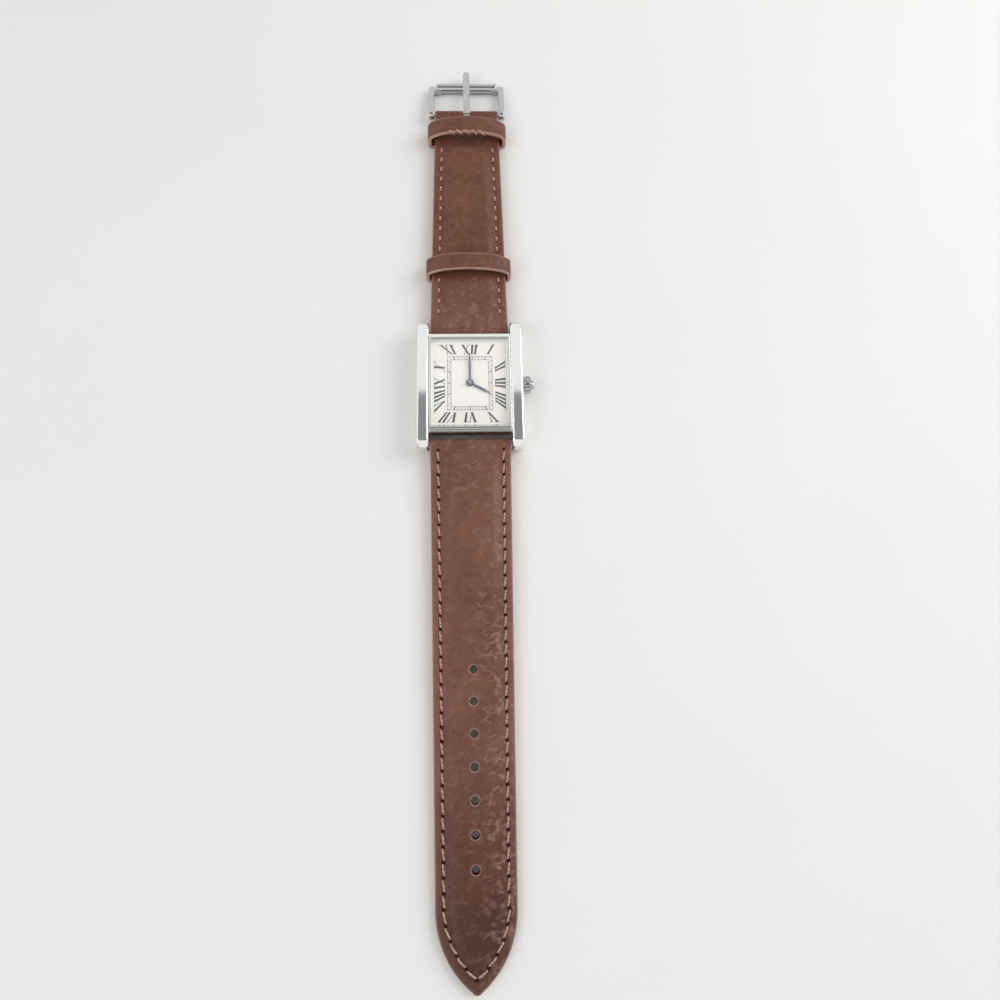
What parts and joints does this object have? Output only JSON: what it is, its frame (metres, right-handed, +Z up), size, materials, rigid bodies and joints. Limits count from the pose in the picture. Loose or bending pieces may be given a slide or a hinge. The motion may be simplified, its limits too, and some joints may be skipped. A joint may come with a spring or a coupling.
{
  "type": "rectangular watch",
  "caption": "Rectangular quartz dress watch with side bars for lugs, Roman dial, side crown and a brown padded leather strap with buckle and keepers, laid open and flat.",
  "frame": {"origin": "on the hands' axis, in the plane of the flat case back that the watch rests on", "axes": "+Z up through the dial, +Y to 12 o'clock along the buckle half of the strap, +X to 3 o'clock and the crown"},
  "size_m": [0.0294, 0.2319, 0.0072],
  "materials": {
    "polished_steel": "polished stainless steel",
    "brushed_steel": "satin stainless steel",
    "mineral_glass": "clear flat mineral glass",
    "black_rubber": "matt nitrile rubber",
    "white_lacquer": "off-white satin lacquer on brass",
    "black_ink": "black pad-printed ink",
    "blued_steel": "blued steel",
    "brass": "plain brass",
    "nickel_plate": "nickel-plated brass",
    "black_plastic": "moulded engineering plastic",
    "white_plastic": "white moulded plastic",
    "green_board": "solder mask on glass-fibre board",
    "copper_wire": "enamelled copper wire",
    "soft_iron": "annealed iron alloy",
    "magnet": "sintered magnet",
    "brown_leather": "mid-brown grained calf leather, satin",
    "lining_leather": "smooth tan lining leather",
    "padding": "pressed fibre padding"
  },
  "bodies": {
    "case": {"case_body": "polished_steel", "bezel": "polished_steel", "crystal": "mineral_glass", "crystal_gasket": "white_plastic", "case_back": "brushed_steel", "case_back_gasket": "black_rubber", "case_back_screws": "polished_steel", "movement_holder": "white_plastic", "dial": "white_lacquer", "minute_track": "black_ink", "dial_numerals": "black_ink", "main_plate": "nickel_plate", "train_bridge": "nickel_plate", "movement_screws": "polished_steel", "battery": "brushed_steel", "battery_clamp": "brushed_steel", "coil_core": "soft_iron", "coil_winding": "copper_wire", "stator": "soft_iron", "circuit_board": "green_board", "control_chip": "black_plastic", "quartz_crystal": "brushed_steel", "crown_tube": "brushed_steel", "spring_bar_upper": "brushed_steel", "spring_bar_lower": "brushed_steel", "spring_bar_springs": "brushed_steel"},
    "minute_hand": {"centre_wheel": "brass", "cannon_pinion": "nickel_plate", "minute_hand": "blued_steel"},
    "hour_hand": {"hour_wheel": "brass", "hour_hand": "blued_steel"},
    "minute_wheel": {"minute_wheel": "brass"},
    "setting_wheel": {"setting_wheel": "brass"},
    "third_wheel": {"third_wheel": "brass"},
    "seconds_wheel": {"seconds_wheel": "brass"},
    "intermediate_wheel": {"intermediate_wheel": "black_plastic"},
    "rotor": {"rotor": "black_plastic", "rotor_magnet": "magnet"},
    "sliding_pinion": {"sliding_pinion": "brushed_steel"},
    "crown": {"crown": "polished_steel", "crown_cap": "polished_steel", "crown_gasket": "black_rubber", "stem": "brushed_steel"},
    "setting_lever": {"setting_lever": "brushed_steel"},
    "long_strap": {"strap_long_upper": "brown_leather", "strap_long_padding": "padding", "strap_long_lining": "lining_leather"},
    "short_strap": {"strap_short_upper": "brown_leather", "strap_short_padding": "padding", "strap_short_lining": "lining_leather", "strap_short_tab": "brown_leather", "keeper_fixed": "brown_leather"},
    "free_keeper": {"keeper_free": "brown_leather"},
    "buckle": {"buckle_frame": "polished_steel", "buckle_pin": "brushed_steel"},
    "tongue": {"buckle_tongue": "polished_steel"},
    "spring_bar_tip_upper_right": {"spring_bar_tip_upper_right": "brushed_steel"},
    "spring_bar_tip_upper_left": {"spring_bar_tip_upper_left": "brushed_steel"},
    "spring_bar_tip_lower_right": {"spring_bar_tip_lower_right": "brushed_steel"},
    "spring_bar_tip_lower_left": {"spring_bar_tip_lower_left": "brushed_steel"}
  },
  "joints": [
    {"name": "minute_hand_turn", "type": "hinge", "parent": "case", "child": "minute_hand", "pos_m": [0, 0, 0.00531], "axis": [0, 0, -1], "continuous": true},
    {"name": "hour_hand_turn", "type": "hinge", "parent": "case", "child": "hour_hand", "pos_m": [0, 0, 0.00499], "axis": [0, 0, -1], "continuous": true},
    {"name": "minute_wheel_turn", "type": "hinge", "parent": "case", "child": "minute_wheel", "pos_m": [0.00175, -0.00197, 0.00342], "axis": [0, 0, -1], "continuous": true},
    {"name": "setting_wheel_turn", "type": "hinge", "parent": "case", "child": "setting_wheel", "pos_m": [0.00425, -0.00112, 0.00342], "axis": [0, 0, -1], "continuous": true},
    {"name": "third_wheel_turn", "type": "hinge", "parent": "case", "child": "third_wheel", "pos_m": [0.00204, -0.00204, 0.00235], "axis": [0, 0, -1], "continuous": true},
    {"name": "seconds_wheel_turn", "type": "hinge", "parent": "case", "child": "seconds_wheel", "pos_m": [0.00443, -0.00116, 0.00204], "axis": [0, 0, -1], "continuous": true},
    {"name": "intermediate_wheel_turn", "type": "hinge", "parent": "case", "child": "intermediate_wheel", "pos_m": [0.00402, 0.0012, 0.00173], "axis": [0, 0, -1], "continuous": true},
    {"name": "rotor_turn", "type": "hinge", "parent": "case", "child": "rotor", "pos_m": [0.00465, 0.00357, 0.00173], "axis": [0, 0, -1], "continuous": true},
    {"name": "crown_turn", "type": "hinge", "parent": "case", "child": "sliding_pinion", "pos_m": [0, 0, 0.00365], "axis": [1, 0, 0], "continuous": true},
    {"name": "crown_pull", "type": "slide", "parent": "sliding_pinion", "child": "crown", "axis": [1, 0, 0], "range_m": [0, 0.0006]},
    {"name": "setting_lever_swing", "type": "hinge", "parent": "case", "child": "setting_lever", "pos_m": [0.00703, 0.0022, 0.00409], "axis": [0, 0, 1], "range_deg": [0, 15.58]},
    {"name": "long_strap_hinge", "type": "hinge", "parent": "case", "child": "long_strap", "pos_m": [0, -0.0156, 0.00245], "axis": [1, 0, 0], "range_deg": [-25, 75]},
    {"name": "short_strap_hinge", "type": "hinge", "parent": "case", "child": "short_strap", "pos_m": [0, 0.0156, 0.00245], "axis": [-1, 0, 0], "range_deg": [-25, 75]},
    {"name": "free_keeper_slide", "type": "slide", "parent": "short_strap", "child": "free_keeper", "axis": [0, 1, 0], "range_m": [-0.0035, 0.034]},
    {"name": "buckle_hinge", "type": "hinge", "parent": "short_strap", "child": "buckle", "pos_m": [0, 0.0824, 0.00225], "axis": [1, 0, 0], "range_deg": [-80, 40]},
    {"name": "tongue_hinge", "type": "hinge", "parent": "buckle", "child": "tongue", "pos_m": [0, 0.0824, 0.00225], "axis": [1, 0, 0], "range_deg": [0, 65]},
    {"name": "spring_bar_tip_upper_right_press", "type": "slide", "parent": "case", "child": "spring_bar_tip_upper_right", "axis": [-1, 0, 0], "range_m": [0, 0.00075], "stiffness_N_per_m": 400, "springref_m": -0.0005},
    {"name": "spring_bar_tip_upper_left_press", "type": "slide", "parent": "case", "child": "spring_bar_tip_upper_left", "axis": [1, 0, 0], "range_m": [0, 0.00075], "stiffness_N_per_m": 400, "springref_m": -0.0005},
    {"name": "spring_bar_tip_lower_right_press", "type": "slide", "parent": "case", "child": "spring_bar_tip_lower_right", "axis": [-1, 0, 0], "range_m": [0, 0.00075], "stiffness_N_per_m": 400, "springref_m": -0.0005},
    {"name": "spring_bar_tip_lower_left_press", "type": "slide", "parent": "case", "child": "spring_bar_tip_lower_left", "axis": [1, 0, 0], "range_m": [0, 0.00075], "stiffness_N_per_m": 400, "springref_m": -0.0005}
  ],
  "couplings": [
    {"joint": "hour_hand_turn", "follows": "minute_hand_turn", "ratio": 0.083333},
    {"joint": "minute_wheel_turn", "follows": "minute_hand_turn", "ratio": -0.33333},
    {"joint": "setting_wheel_turn", "follows": "minute_hand_turn", "ratio": 1},
    {"joint": "third_wheel_turn", "follows": "minute_hand_turn", "ratio": -8},
    {"joint": "seconds_wheel_turn", "follows": "minute_hand_turn", "ratio": 60},
    {"joint": "intermediate_wheel_turn", "follows": "minute_hand_turn", "ratio": -300},
    {"joint": "rotor_turn", "follows": "minute_hand_turn", "ratio": 1800},
    {"joint": "setting_lever_swing", "follows": "crown_pull", "rad_per_m": 451.76}
  ]
}
